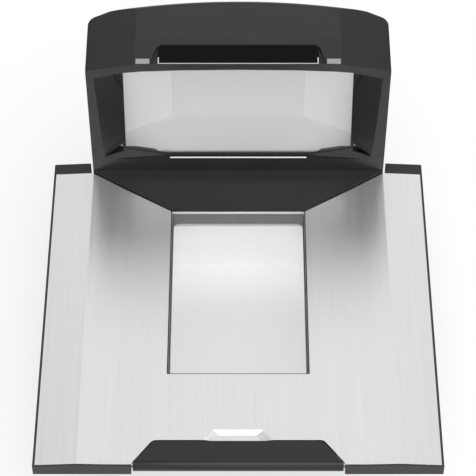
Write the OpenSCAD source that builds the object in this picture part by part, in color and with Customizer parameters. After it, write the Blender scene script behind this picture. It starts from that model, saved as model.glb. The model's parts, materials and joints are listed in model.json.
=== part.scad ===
// Two-plane counter barcode scanner with a built-in produce scale.
// A stainless platter with a window lies flush in the counter, and a tower with a second
// window stands at its rear. Millimetres, +X to the operator's right, +Y to the rear, +Z up.
// The origin is on the resting surface, at the centre of the outline.

/* [Overall] */
// Width across the platter's side trims
unit_w = 294; // [290:1:300]
// Length from the front trim to the rear of the deck
unit_l = 347; // [347:1:353]
// Height of the platter's top face above the surface that the feet rest on
deck_h = 104; // [104:1:108]

/* [Platter] */
// Thickness of the stainless sheet
sheet_t = 1.5; // [1.2:0.1:1.8]
// Distance from the front trim to the sheet's rear edge beside the tower
shoulder_y = 275.8; // [274:0.2:277]
// Half width of the platter's window opening
window_hw = 52.7; // [50:0.1:55]
// Front edge of the window opening
window_y0 = 80.3; // [76:0.1:86]
// Rear edge of the window opening, where the tower's apron starts
window_y1 = 236.7; // [234:0.1:238]
// Half distance between the two raised creases along the sheet
crease_x = 115.5; // [112:0.5:118]
// Height of each crease over the flat middle
crease_rise = 1; // [0.8:0.1:1.4]
// Drop of the sheet's outer edges below the flat middle
edge_drop = 0.8; // [0.6:0.1:1.2]
// Depth of the skirt round the platter
skirt_h = 10.6; // [10:0.2:12]

/* [Produce rail] */
// Half width of the rail at its hinge
rail_front_hw = 75.3; // [70:0.1:78]
// Half width of the rail at its rear edge
rail_rear_hw = 60.7; // [56:0.1:62]
// Rear edge of the rail when it lies flat
rail_rear_y = 21.5; // [20:0.1:23]
// Outer radius of the rail's hinge barrel
barrel_r = 5.2; // [5:0.1:5.6]

/* [Tower] */
// Half width of the tower
tower_hw = 115.6; // [114:0.1:116]
// Height of the tower's flat top over the platter
tower_h = 127.6; // [127:0.2:129]
// Depth of the tower at its middle
tower_d = 70; // [69:0.5:71]
// Backward lean of the tower's window, in degrees
lean = 12; // [10:0.5:13]
// Half width of the tower's window
tower_window_hw = 89; // [84:0.5:92]
// Radius of the tower's curved back, in plan
back_r = 475; // [460:5:520]

/* [Hidden] */
$fn = 48;

half_w = unit_w / 2;
gap = 0.8;                              // running gap round the parts that lift or turn
wall = 2.5;                             // wall of the moulded shells
plate_y0 = 1.5;                         // the sheet starts this far behind the front trim
plate_hw = half_w - 1.7;                // half width of the sheet, inside the side trims
flat_x = 89;                            // the sheet is flat out to here
throat_hw = tower_hw + 0.6;             // half width of the sheet's rear cut-out at the shoulder
web_z = -5;                             // underside of the platter's carrier
pad_t = 3;                              // rubber pads between the weigh frame and the carrier
frame_t = 5;                            // thickness of the weigh frame
frame_z1 = web_z - pad_t;               // top of the weigh frame
frame_z0 = frame_z1 - frame_t;          // underside of the weigh frame
deck_z1 = -15.5;                        // top of the deck cover
deck_t = 2.5;
deck_z0 = deck_z1 - deck_t;             // top of the chassis rim
tub_z0 = -96;                           // underside of the chassis
tub_wall = 3;
tub_hw = tower_hw - 4;                  // the tub is no wider than the tower over it
rim_w = 4;                              // the tub's rim sticks out by this much
tub_y0 = 22;
tub_y1 = unit_l - rim_w;                // the rim is the rearmost line
deck_window = [-51, 51, window_y0 + 1.5, window_y1 + 2]; // x0, x1, y0, y1
window_edge = 3.2;                      // the inner glass laps the deck's opening by this much
well_hw = 56;                           // inside half width of the optics well
well_y0 = deck_window[2] - window_edge;
well_y1 = deck_window[3] + window_edge;
well_z0 = -74;
well_wall = 2;
glass_t = 3;
cell_y = 50;                            // centre line of the load cell
cell_z1 = -22;                          // top of the load cell
cell_h = 22;
cell_l = 130;
cell_w = 30;
cell_bolt_x = 50;                       // the frame's boss sits over this end of the load cell
frame_arm_x = 72;                       // centre line of each weigh frame arm
stop_ys = [cell_y - 10, 212];           // rows of overload stops under the arms
pad_ys = [54, 222];                     // the rows of rubber pads
tower_y0 = shoulder_y + gap;            // front face of the tower
tower_y1 = tower_y0 + tower_d;          // rearmost line of the tower
back_cy = tower_y1 - back_r;            // centre of the tower's curved back
back_slope = 0.31;                      // fall of the back's two outer parts, per unit of width
sill_z = 17.1;                          // top of the plinth, under the tower's window
lip_z = 3.4;                            // the apron rises to here at the foot of the lip
eave_side_z = 113.8;                    // lower edge of the hood at the tower's sides
eave_mid_z = 120.3;                     // lower edge of the hood across the middle
hood_crease_x = 78;                     // the hood's side facets start here
eave_slope = (eave_mid_z - eave_side_z) / (tower_hw - hood_crease_x);
hood_side_z = 119.6;                    // top of the hood at the tower's sides, behind the crown's rise
hood_front_z = 123.9;                   // top of the hood's front edge, in the middle
bell_hw = 110.5;                        // half width of the window bell at its mouth
bell_foot_hw = 107.5;                   // and at the foot of the mouth
bell_lip = 0.8;                         // flat lip round the bell's inner end, over the glass's edge
brow = [[bell_hw, 109.2], [94, 113.3], [88, 115.4], [74, 117], [44, 118.4], [0, 119]]; // its lower edge
glass_drop = 1.3;                       // the plinth steps down by this much behind the sill
tilt_y0 = tower_y0 + 3;                 // front face of the tower's glass at the sill
back_tilt_y = tilt_y0 + 8;              // parting plane between bezel and rear shell, at the sill
cavity_y = tilt_y0 + 43;                // back of the tower's optical cavity
cavity_hw = 52.5;
mirror_top_z = 78;                      // top of the rear mirror in the tower
side_mirror_top_z = 99;
side_mirror_y = tilt_y0 + 24.5;         // front edge of each side mirror
frame_top_z = 110;
plate_t = 1.5;                          // thickness of the steel plate behind the mirrors
imager_z = 95;                          // height of the tower's imager
frame_back_y = cavity_y + 2.1 + plate_t;
key_x = 72.1;                           // centre of each key
key_w = 10.4;
key_d = 5;                              // depth of a key from front to back
key_y0 = tower_y0 + 1;
key_top_z = 124.3;
key_flange = 1.1;                       // the retaining flange sticks out by this much
key_gap = 0.3;                          // gap round a key
key_flange_z = 120.9;                   // underside of the key's retaining flange
badge_hw = 62.2;                        // half width of the badge recess's floor
badge_y1 = tower_y0 + 18.8;             // rear edge of that floor
badge_z0 = 121.9;                       // height of the floor at the front, then at the rear
badge_z1 = 123.3;
foot_xs = [-88, 88];
foot_ys = [96, 316];
foot_thread_r = 4;
mount_xs = [-70, 70];
mount_ys = [130, 290];
mount_hole_r = 2.25;
port_z = -52;
port_face_y = tub_y1 - 0.2;
port_list = [[-54, 11, 9], [-24, 12, 8], [6, 12, 8], [36, 13, 6], [60, 12, 8]]; // x, width, height

// The scanner's own axes: Y from the front trim, Z from the platter's top face.
module place() { translate([0, -unit_l / 2, deck_h]) children(); }

// A [y, z] outline pushed out to both sides of the middle plane.
module across(points, width) {
    rotate([90, 0, 90]) linear_extrude(width, center = true) polygon(points);
}

// An [x, z] outline pushed from y0 to y1.
module along(points, y0, y1) {
    translate([0, y1, 0]) rotate([90, 0, 0]) linear_extrude(y1 - y0) polygon(points);
}

module box(x0, x1, y0, y1, z0, z1) {
    translate([x0, y0, z0]) cube([x1 - x0, y1 - y0, z1 - z0]);
}

module mirrored() {
    children();
    mirror([1, 0, 0]) children();
}

function flip(points) = [for (i = [len(points) - 1 : -1 : 0]) [-points[i][0], points[i][1]]];
function both(points) = concat(points, flip(points));
function drop(points, d) = [for (p = points) [p[0], p[1] - d]];

// Moves a point at height z back along the leaning window.
function leaned(y, z) = y + (z - sill_z) * tan(lean);

// ---------------------------------------------------------------- platter

// The sheet's cross section from its right edge to the middle.
sheet_top = [[plate_hw, -edge_drop], [crease_x + 3, crease_rise - 0.2], [crease_x, crease_rise],
    [crease_x - 3, crease_rise - 0.15], [flat_x, 0]];

function section(d0, d1, hw) =
    let (top = [for (p = sheet_top) [min(p[0], hw), p[1]]])
    concat(drop(both(top), d0), [for (i = [2 * len(top) - 1 : -1 : 0]) both(top)[i] - [0, d1]]);

// The window and the room behind it for the tower; a ledge makes the window smaller.
module window_cut(ledge, z0, z1) {
    notch = ledge > 0 ? [[window_hw, window_y1 - ledge]] : [];
    translate([0, 0, z0]) linear_extrude(z1 - z0) polygon(both(concat(
        [[window_hw - ledge, window_y0 + ledge], [window_hw - ledge, window_y1 - ledge]], notch,
        [[throat_hw, shoulder_y], [throat_hw, shoulder_y + 20]])));
}

// The rail's outline in plan, with its rear corners rounded.
module rail_outline(grow, y0) {
    corner = 5;
    offset(r = corner, $fn = 32) offset(delta = -corner) polygon([
        [-rail_front_hw - grow, y0 - 20], [rail_front_hw + grow, y0 - 20],
        [rail_front_hw + grow, 3], [rail_rear_hw + grow, rail_rear_y + grow],
        [-rail_rear_hw - grow, rail_rear_y + grow], [-rail_front_hw - grow, 3]]);
}

// A dished trapezoid behind the rail, for a fingertip.
module finger_dish(depth, grow) {
    y0 = rail_rear_y - 3;
    hull() {
        translate([0, 0, -depth]) linear_extrude(0.01) polygon([
            [-18.8 - grow, y0], [18.8 + grow, y0], [13.2 + grow, 27.6 + grow], [-13.2 - grow, 27.6 + grow]]);
        translate([0, 0, 0.6]) linear_extrude(0.01) polygon([
            [-30.4 - grow, y0], [30.4 + grow, y0], [19.8 + grow, 32 + grow], [-19.8 - grow, 32 + grow]]);
    }
}

module platter_plate() {
    dish = 1.9;
    color("silver") difference() {
        union() {
            along(section(0, sheet_t, plate_hw), plate_y0, shoulder_y);
            intersection() {
                finger_dish(dish + 1.2, 1);
                box(-40, 40, plate_y0, 40, -4.8, 0);
            }
        }
        window_cut(0, -20, 20);
        translate([0, 0, -20]) linear_extrude(40) rail_outline(gap, 0);
        finger_dish(dish, 0);
    }
}

module platter_glass() {
    color([0.75, 0.85, 0.85, 0.35])
        box(-window_hw + gap, window_hw - gap, window_y0 + gap, window_y1 - 0.2, -0.1 - glass_t, -0.1);
}

module platter_glass_seal() {
    color("black") difference() {
        box(-window_hw + 0.02, window_hw - 0.02, window_y0 + 0.02, window_y1 - 0.2, -0.1 - glass_t, -0.3);
        box(-window_hw + gap, window_hw - gap, window_y0 + gap, window_y1 + 5, -10, 5);
    }
}

module platter_carrier() {
    ledge = 1.9;
    glass_seat_z = -0.1 - glass_t;
    pin_y = barrel_r;
    trim_in = rail_front_hw + 1.2;
    color([0.12, 0.12, 0.13]) difference() {
        union() {
            difference() {
                along(concat(drop(both(sheet_top), sheet_t), [[-plate_hw, web_z], [plate_hw, web_z]]),
                    plate_y0 + 1, shoulder_y);
                window_cut(ledge, -20, 20);
                window_cut(0, glass_seat_z, 20);
                finger_dish(3.3, 1.3);
            }
            mirrored() {
                box(plate_hw, half_w, 0, shoulder_y, -skirt_h, -edge_drop - 0.1);
                box(plate_hw - 1.2, plate_hw + 0.2, 2, shoulder_y, -skirt_h, -edge_drop - sheet_t);
                along([[trim_in, -skirt_h], [half_w, -skirt_h], [half_w, -edge_drop - 0.1],
                    [plate_hw, -edge_drop - 0.1], [crease_x, crease_rise - 0.2], [flat_x, -0.2],
                    [trim_in, -0.2]], 0, plate_y0 - 0.1);
                box(trim_in, half_w, 1.2, plate_y0 + 1.2, -skirt_h, -edge_drop - sheet_t - 0.4);
                box(trim_in, trim_in + 12, plate_y0 + 1, 2 * barrel_r + 1, -skirt_h, web_z + 0.2);
            }
        }
        // Room for the rail and its barrel, with a shelf left under the rail's rear edge.
        translate([0, 0, -4.4]) linear_extrude(20) rail_outline(gap, 0);
        translate([0, barrel_r, -barrel_r]) rotate([0, 90, 0])
            cylinder(r = barrel_r + gap, h = 2 * trim_in, center = true);
        box(-trim_in, trim_in, -1, 2 * barrel_r + gap, -20, 0);
        mirrored() translate([trim_in - 4, pin_y, -barrel_r]) rotate([0, 90, 0])
            cylinder(r = 1.52, h = 13);
    }
}

// Caps over the carrier's two ends beside the tower.
module rear_caps() {
    top = -edge_drop - 0.1;
    rise = crease_rise - 0.2;
    y1 = shoulder_y + 10.6;
    color([0.12, 0.12, 0.13]) mirrored() difference() {
        along([[throat_hw + 1.8, -skirt_h], [half_w, -skirt_h], [half_w, top], [throat_hw + 2.8, rise],
            [throat_hw + 1.8, rise]], shoulder_y + 0.05, y1);
        along([[throat_hw + 4.2, -skirt_h - 1], [half_w - 2.4, -skirt_h - 1], [half_w - 2.4, top - 2.6],
            [throat_hw + 4.2, rise - 2.4]], shoulder_y - 1, y1 - 2.4);
    }
}

// Screws up through the carrier into studs on the sheet: x, y of the right half.
carrier_screw_xy = [[100, 30], [100, 150], [100, 235], [64, 62]];

module carrier_screws() {
    color("silver") mirrored() for (p = carrier_screw_xy) translate([p[0], p[1], web_z - 1.4])
        difference() {
            cylinder(r = 2.8, h = 1.38);
            translate([0, 0, -0.1]) cylinder(r = 1.3, h = 0.9, $fn = 6);
        }
}

module rail_hinge_pins() {
    color("silver") mirrored() translate([rail_front_hw - 9, barrel_r, -barrel_r]) rotate([0, 90, 0])
        cylinder(r = 1.5, h = 18);
}

// ---------------------------------------------------------------- produce rail

module produce_rail() {
    rail_t = 3.6;
    color([0.1, 0.1, 0.11]) difference() {
        union() {
            intersection() {
                translate([0, 0, -rail_t]) linear_extrude(rail_t) rail_outline(0, 0);
                box(-100, 100, barrel_r, 40, -20, 20);
            }
            intersection() {
                translate([0, barrel_r, -barrel_r]) rotate([0, 90, 0])
                    cylinder(r = barrel_r, h = 2 * rail_front_hw, center = true);
                translate([0, 0, -20]) linear_extrude(40) rail_outline(0, 0);
            }
            across([[barrel_r, -barrel_r], [9, -barrel_r], [13, -rail_t], [barrel_r, -rail_t]],
                2 * (rail_front_hw - 8.5));
        }
        mirrored() translate([rail_front_hw - 10, barrel_r, -barrel_r]) rotate([0, 90, 0])
            cylinder(r = 1.56, h = 11);
        // A bevel under the middle of the rear edge gives the fingertip its hold.
        across([[rail_rear_y - 3, -rail_t - 0.1], [rail_rear_y + 1, -rail_t - 0.1],
            [rail_rear_y + 1, -1.2], [rail_rear_y - 0.6, -1.2]], 40);
    }
}

module rail_bumpers() {
    color([0.05, 0.05, 0.05]) mirrored() translate([48, 16.5, -4.35]) cylinder(r = 2.6, h = 0.74);
}

// ---------------------------------------------------------------- scale

module weigh_frame() {
    arm_w = 20;
    front_y = cell_y - 17;
    color([0.7, 0.71, 0.72]) difference() {
        union() {
            mirrored()
                box(frame_arm_x - arm_w / 2, frame_arm_x + arm_w / 2, front_y, 232, frame_z0, frame_z1);
            box(-frame_arm_x, frame_arm_x, front_y, cell_y + 17, frame_z0, frame_z1);
            translate([cell_bolt_x, cell_y, cell_z1 + 0.02])
                linear_extrude(frame_z0 - cell_z1 + 1) square([24, 24], center = true);
        }
        // Lightening windows in the front bar and the arms.
        for (x = [-42, 4]) box(x - 17, x + 17, cell_y - 10, cell_y + 10, frame_z0 - 1, frame_z1 + 1);
        mirrored() for (y = [92, 138, 184])
            box(frame_arm_x - 5, frame_arm_x + 5, y - 14, y + 14, frame_z0 - 1, frame_z1 + 1);
        // Seats for the frame's screws, and for the pads.
        for (dx = [-6, 6]) translate([cell_bolt_x + dx, cell_y, cell_z1 - 1]) cylinder(r = 2.2, h = 20);
        mirrored() for (y = pad_ys) translate([frame_arm_x, y, frame_z0 - 1]) cylinder(r = 2.5, h = 20);
    }
}

module weigh_pads() {
    color([0.06, 0.06, 0.06]) mirrored() for (y = pad_ys) translate([frame_arm_x, y, frame_z1])
        union() {
            cylinder(r = 8, h = pad_t - 0.02);
            translate([0, 0, -frame_t]) cylinder(r = 2.45, h = frame_t + 0.5);
        }
}

module weigh_frame_screws() {
    color("silver") for (dx = [-6, 6]) translate([cell_bolt_x + dx, cell_y, frame_z1 + 0.01])
        difference() {
            union() {
                cylinder(r = 3.6, h = 2.6);
                translate([0, 0, -13.9]) cylinder(r = 2.1, h = 14);
            }
            translate([0, 0, 1.2]) cylinder(r = 1.7, h = 3, $fn = 6);
        }
}

module load_cell() {
    z = cell_z1 - cell_h / 2;
    color([0.75, 0.76, 0.78]) difference() {
        box(-cell_l / 2, cell_l / 2, cell_y - cell_w / 2, cell_y + cell_w / 2, cell_z1 - cell_h, cell_z1);
        // The thinned middle that bends: two holes joined by a slot.
        for (x = [-15, 15]) translate([x, cell_y, z]) rotate([90, 0, 0])
            cylinder(r = 8.5, h = cell_w + 2, center = true);
        box(-15, 15, cell_y - 20, cell_y + 20, z - 2, z + 2);
        for (dx = [-6, 6]) {
            translate([cell_bolt_x + dx, cell_y, cell_z1 - 14]) cylinder(r = 2.25, h = 20);
            translate([-cell_bolt_x + dx, cell_y, cell_z1 - cell_h - 1]) cylinder(r = 2.25, h = 14);
        }
    }
}

// Spacer between the cell's fixed end and the chassis's sloping front.
module load_cell_mount() {
    color([0.6, 0.6, 0.62]) difference() {
        intersection() {
            box(-cell_l / 2, -cell_l / 2 + 30, cell_y - 15, cell_y + 15, -94, cell_z1 - cell_h - 0.02);
            tub_inside(0.02);
        }
        for (dx = [-6, 6]) translate([-cell_bolt_x + dx, cell_y, -95]) cylinder(r = 2.25, h = 60);
    }
}

module overload_stops() {
    color("silver") mirrored() for (y = stop_ys) translate([frame_arm_x + 6, y, deck_z1 + 0.02])
        union() {
            cylinder(r = 3.6, h = 1.7, $fn = 6);
            translate([0, 0, -6]) cylinder(r = 1.9, h = 6.5);
        }
}

// ---------------------------------------------------------------- chassis

tub_slope = 50;                         // the front wall slopes back by this much
tub_slope_z = -36;                      // and starts to slope at this height
tub_side = [[tub_y0, deck_z0], [tub_y1, deck_z0], [tub_y1, -70], [tub_y1 - 12, tub_z0],
    [tub_y0 + tub_slope, tub_z0], [tub_y0, tub_slope_z]];

module tub_inside(inset) {
    t = tub_wall + inset;
    across([[tub_y0 + t, deck_z0 + 1], [tub_y1 - t, deck_z0 + 1], [tub_y1 - t, -69.5],
        [tub_y1 - 12 - 0.8 * t, tub_z0 + t], [tub_y0 + tub_slope + 0.45 * t, tub_z0 + t],
        [tub_y0 + t, tub_slope_z + 0.3 * t]], 2 * (tub_hw - t));
}

module chassis_tub() {
    color([0.2, 0.2, 0.21]) difference() {
        union() {
            difference() {
                union() {
                    across(tub_side, 2 * tub_hw);
                    box(-tub_hw - rim_w, tub_hw + rim_w, tub_y0 - rim_w, tub_y1 + rim_w,
                        deck_z0 - 3, deck_z0);
                }
                tub_inside(0);
            }
            for (x = foot_xs, y = foot_ys) translate([x, y, tub_z0 + 1]) cylinder(r = 9, h = 16);
            for (x = mount_xs, y = mount_ys) translate([x, y, tub_z0 + 1]) cylinder(r = 6.5, h = 11);
            for (p = deck_screw_xy) translate([p[0], p[1], deck_z0 - 10]) cylinder(r = rim_w, h = 9);
            // Strengthening ribs across the floor.
            for (y = [112, 200]) box(-tub_hw + 1, tub_hw - 1, y - 1.2, y + 1.2, tub_z0 + 1, tub_z0 + 7);
        }
        for (x = foot_xs, y = foot_ys) translate([x, y, tub_z0 - 1])
            cylinder(r = foot_thread_r + 0.06, h = 20);
        for (x = mount_xs, y = mount_ys) translate([x, y, tub_z0 - 1]) cylinder(r = mount_hole_r, h = 14);
        box(-66, 72, tub_y1 - 6, tub_y1 + 1, port_z - 7, port_z + 7);
        // Cooling slots in both sides.
        mirrored() for (i = [0 : 8]) box(tub_hw - 5, tub_hw + 1, 120 + 14 * i, 124 + 14 * i, -60, -34);
        for (p = deck_screw_xy) translate([p[0], p[1], deck_z0 - 9]) cylinder(r = 1.5, h = 10);
    }
}

// The deck cover's screws, as [x, y].
deck_screw_xy = [for (x = [-tub_hw, tub_hw], y = [tub_y0 + 6, 130, 215, shoulder_y - 6]) [x, y]];

module rounded_rect(x0, x1, y0, y1, r) {
    union() {
        translate([x0 + r, y0]) square([x1 - x0 - 2 * r, y1 - y0]);
        translate([x0, y0 + r]) square([x1 - x0, y1 - y0 - 2 * r]);
        for (x = [x0 + r, x1 - r], y = [y0 + r, y1 - r]) translate([x, y]) circle(r = r);
    }
}

module deck_cover() {
    w = deck_window;
    color([0.15, 0.15, 0.16]) difference() {
        box(-tub_hw - rim_w, tub_hw + rim_w, tub_y0 - rim_w, tub_y1 + rim_w, deck_z0, deck_z1);
        translate([0, 0, deck_z0 - 1]) linear_extrude(10) rounded_rect(w[0], w[1], w[2], w[3], 5);
        box(cell_bolt_x - 15, cell_bolt_x + 15, cell_y - 15, cell_y + 15, deck_z0 - 1, deck_z1 + 1);
        box(-90, 90, tower_y0 + 12, tower_y0 + 58, deck_z0 - 1, deck_z1 + 1);
        for (p = deck_screw_xy) translate([p[0], p[1], deck_z0 - 1]) cylinder(r = 1.8, h = 6);
        mirrored() for (y = stop_ys) translate([frame_arm_x + 6, y, deck_z0 - 1]) cylinder(r = 1.95, h = 6);
    }
}

module deck_screws() {
    color("silver") for (p = deck_screw_xy) translate([p[0], p[1], deck_z1]) difference() {
        union() {
            cylinder(r = 3, h = 1.6);
            translate([0, 0, -8]) cylinder(r = 1.45, h = 8.5);
        }
        translate([0, 0, 0.6]) cylinder(r = 1.4, h = 2, $fn = 6);
    }
}

module inner_glass() {
    w = deck_window;
    e = window_edge;
    color([0.75, 0.85, 0.85, 0.35])
        box(w[0] - e, w[1] + e, w[2] - e, w[3] + e, deck_z0 - 0.5 - glass_t, deck_z0 - 0.5);
}

module inner_glass_seal() {
    w = deck_window;
    e = window_edge;
    color("black") difference() {
        box(w[0] - e, w[1] + e, w[2] - e, w[3] + e, deck_z0 - 0.48, deck_z0 - 0.02);
        translate([0, 0, deck_z0 - 2]) linear_extrude(4)
            rounded_rect(w[0] - 0.4, w[1] + 0.4, w[2] - 0.4, w[3] + 0.4, 5);
    }
}

// ---------------------------------------------------------------- optics under the deck

well_top = deck_z0 - 0.6 - glass_t;
well_liner_t = 1.9;                     // thickness of the mirrors that line the well
lens_z = -57;
imager_y = well_y0 - 17;                // front face of the deck imager's board
imager_hole = [15, 10];                 // offsets of the board's screw holes from the lens axis

module optics_well() {
    front = well_y0 - well_wall;
    color([0.85, 0.85, 0.86]) difference() {
        union() {
            box(-well_hw - well_wall, well_hw + well_wall, front, well_y1 + well_wall, well_z0, well_top);
            for (x = [-48, 48], y = [well_y0 + 14, well_y1 - 14])
                translate([x, y, tub_z0 + tub_wall + 0.02]) cylinder(r = 4, h = 20);
            for (x = [-1, 1], z = [-1, 1])
                translate([x * imager_hole[0], front + 1, lens_z + z * imager_hole[1]]) rotate([90, 0, 0])
                    cylinder(r = 2.4, h = front + 1 - imager_y - 0.02);
        }
        box(-well_hw, well_hw, well_y0, well_y1, well_z0 + well_wall, well_top + 1);
        translate([0, well_y0 + 1, lens_z]) rotate([90, 0, 0]) cylinder(r = 8.2, h = 10);
    }
}

// Floor, rear and side mirrors that line the well.
module well_mirrors() {
    t = well_liner_t;
    z0 = well_z0 + well_wall + 0.02;
    z1 = well_top - 0.4;
    hw = well_hw - 0.05;
    color([0.9, 0.9, 0.92]) {
        box(-hw + t + 0.05, hw - t - 0.05, well_y0 + 0.1, well_y1 - t - 0.15, z0, z0 + t);
        box(-hw + t + 0.05, hw - t - 0.05, well_y1 - t - 0.1, well_y1 - 0.1, z0, z1);
        mirrored() box(hw - t, hw, well_y0 + 0.1, well_y1 - 0.1, z0, z1);
    }
}

module well_led_bars() {
    color([0.95, 0.95, 0.85]) for (x = [-36, 36]) difference() {
        box(x - 14, x + 14, well_y0 + 0.1, well_y0 + 4, -36, -29);
        for (i = [-1, 0, 1]) translate([x + 8 * i, well_y0 + 5, -32.5]) rotate([90, 0, 0])
            cylinder(r = 2, h = 1.8);
    }
}

module imager_board() {
    difference() {
        translate([-18, -1.6, -13]) cube([36, 1.6, 26]);
        for (x = [-1, 1], z = [-1, 1]) translate([x * imager_hole[0], 1, z * imager_hole[1]])
            rotate([90, 0, 0]) cylinder(r = 1.2, h = 5);
    }
}

module imager_lens() {
    rotate([-90, 0, 0]) difference() {
        union() {
            translate([-11, -11, 0.02]) cube([22, 22, 5]);
            cylinder(r = 7, h = 11.5);
            translate([0, 0, 11]) cylinder(r = 7.8, h = 4);
        }
        translate([0, 0, 13.4]) cylinder(r1 = 4.4, r2 = 6.4, h = 2);
    }
}

module deck_imager_board() { color([0.05, 0.3, 0.15]) translate([0, imager_y, lens_z]) imager_board(); }
module deck_imager_lens() { color([0.1, 0.1, 0.1]) translate([0, imager_y, lens_z]) imager_lens(); }

// ---------------------------------------------------------------- electronics

board = [-100, 100, 248, 318];          // x0, x1, y0, y1
board_z = -84;
board_holes = [for (x = [-94, 94], y = [254, 296]) [x, y]];

module main_board() {
    color([0.04, 0.28, 0.14]) difference() {
        box(board[0], board[1], board[2], board[3], board_z, board_z + 1.6);
        for (p = board_holes) translate([p[0], p[1], board_z - 1]) cylinder(r = 1.7, h = 4);
        for (x = foot_xs, y = foot_ys) translate([x, y, board_z - 5]) cylinder(r = 12, h = 12);
        for (x = mount_xs, y = mount_ys) translate([x, y, board_z - 5]) cylinder(r = 8, h = 12);
    }
}

module board_parts() {
    z = board_z + 1.62;
    color([0.12, 0.12, 0.12]) {
        box(-66, -40, 262, 288, z, z + 2.2);
        box(-30, -14, 262, 272, z, z + 1.4);
        box(-30, -14, 278, 288, z, z + 1.4);
        for (i = [0 : 3]) translate([52 + 9 * i, 268, z]) cylinder(r = 3.6, h = 9);
        for (i = [0 : 2]) box(-8 + 18 * i, 4 + 18 * i, 256, 261, z, z + 5);
    }
}

module board_standoffs() {
    color("goldenrod") for (p = board_holes) translate([p[0], p[1], tub_z0 + tub_wall + 0.02]) union() {
        cylinder(r = 3, h = board_z - tub_z0 - tub_wall - 0.04, $fn = 6);
        cylinder(r = 1.6, h = board_z - tub_z0 - tub_wall + 3);
        translate([0, 0, board_z - tub_z0 - tub_wall + 1.6]) cylinder(r = 2.8, h = 1.6);
    }
}

module heat_sink() {
    x0 = -68;
    y0 = 260;
    z = board_z + 3.85;
    color([0.65, 0.66, 0.68]) {
        box(x0, x0 + 30, y0, y0 + 30, z, z + 2.5);
        for (i = [0 : 6]) box(x0 + 4.5 * i, x0 + 4.5 * i + 1.6, y0, y0 + 30, z + 2, z + 12);
    }
}

// Sockets for the cables, facing the rear.
module port_block() {
    y0 = tub_y1 - 22;
    y1 = port_face_y;
    color([0.18, 0.18, 0.19]) difference() {
        box(-65.8, 71.8, y0, y1, port_z - 6.8, port_z + 6.8);
        for (p = port_list) translate([p[0], 0, port_z])
            box(-p[1] / 2, p[1] / 2, y1 - 14, y1 + 1, -p[2] / 2, p[2] / 2);
    }
}

// A flat cable folded along a [y, z] route.
module ribbon(route, x, width) {
    t = 0.3;
    translate([x, 0, 0]) union() for (i = [0 : len(route) - 2]) {
        a = route[i];
        b = route[i + 1];
        n = [a[1] - b[1], b[0] - a[0]] / norm(b - a) * t;
        e = (b - a) / norm(b - a) * t;
        across([a - n - e, b - n + e, b + n + e, a + n - e], width);
    }
}

module ribbon_cables() {
    z = board_z + 3.2;
    back_y = cavity_y + 6;
    color([0.85, 0.85, 0.8]) {
        // From the deck imager, under the well, to the main board.
        ribbon([[imager_y - 2.4, lens_z - 8], [imager_y - 2.4, lens_z - 18], [imager_y + 10, tub_z0 + 8.4],
            [board[2] - 6, tub_z0 + 8.4], [board[2] - 3, z], [board[2] + 7, z]], 0, 16);
        // From the main board up through the deck to the tower's imager.
        ribbon([[board[2] + 44, z], [board[2] + 60, z], [board[2] + 64, z + 6], [board[2] + 64, 4],
            [back_y, 14], [back_y, 84]], -20, 16);
    }
}

module bubble_level() {
    color([0.6, 0.9, 0.3]) translate([-100, 150, deck_z1 + 0.02]) difference() {
        union() {
            cylinder(r = 7, h = 3.6);
            cylinder(r = 9, h = 1.2);
        }
        translate([0, 0, 3]) cylinder(r = 5.4, h = 2);
    }
}

// ---------------------------------------------------------------- tower

// Plan of the tower, drawn in by inset: a shallow arc across the back, straight chamfers
// beyond the creases, and round corners.
module tower_plan(inset, front, arc_grow) {
    hw = tower_hw - inset;
    corner = 8 - inset;
    r = back_r - inset + arc_grow;
    cut_x = hood_crease_x;
    cut_y = back_cy + sqrt(r * r - cut_x * cut_x);
    slant = 1 / cos(atan(back_slope));
    corner_x = hw - corner;
    corner_y = cut_y - back_slope * (corner_x - cut_x) - corner * slant;
    intersection() {
        translate([0, back_cy]) circle(r = r);
        translate([-cut_x, front]) square([2 * cut_x, 200]);
    }
    polygon(both([[hw, front], [hw, corner_y],
        [corner_x + corner * back_slope / slant, corner_y + corner / slant], [cut_x, cut_y]]));
    for (x = [-corner_x, corner_x]) translate([x, corner_y]) circle(r = corner);
}

// Everything in front of the leaning parting plane, or behind it, from the sill up.
module lean_side(shift, front) {
    y = back_tilt_y + shift;
    far = front ? -200 : 600;
    across([[leaned(y, -60), -60], [leaned(y, 160), 160], [far, 160], [far, -60]], 400);
}

// The bell that opens from the leaning glass to the tower's front face, in strips one above
// the other, because its sides twist.
module window_bell(grow) {
    strips = 8;
    z0 = sill_z - grow + 0.6;
    flat = 54 + grow;
    glass_hw = tower_window_hw + grow;
    glass_h0 = z0 - sill_z + 6.5;
    glass_h1 = 86 + grow;
    mouth_lean = 2 * grow;
    edge_h = brow[0][1] + grow - z0;
    function mouth(t) = [[bell_foot_hw + (bell_hw - bell_foot_hw) * t + mouth_lean, z0 + edge_h * t]];
    function pane(t) = [[glass_hw, glass_h0 + (glass_h1 - glass_h0) * t]];
    brow_points = [for (i = [1 : len(brow) - 1]) brow[i] + [brow[i][0] > 0 ? mouth_lean : 0, grow]];
    for (i = [0 : strips - 1]) hull() {
        along(both(concat(mouth(i / strips), mouth((i + 1) / strips), i == strips - 1 ? brow_points : [])),
            tower_y0 - 1, tower_y0 - 0.9);
        translate([0, leaned(tilt_y0, sill_z), sill_z]) rotate([-lean, 0, 0])
            along(both(concat(i == 0 ? [[flat, z0 - sill_z]] : [], pane(i / strips), pane((i + 1) / strips),
                i == strips - 1 ? [[0, glass_h1 + 2]] : [])), 0, bell_lip);
    }
}

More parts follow.
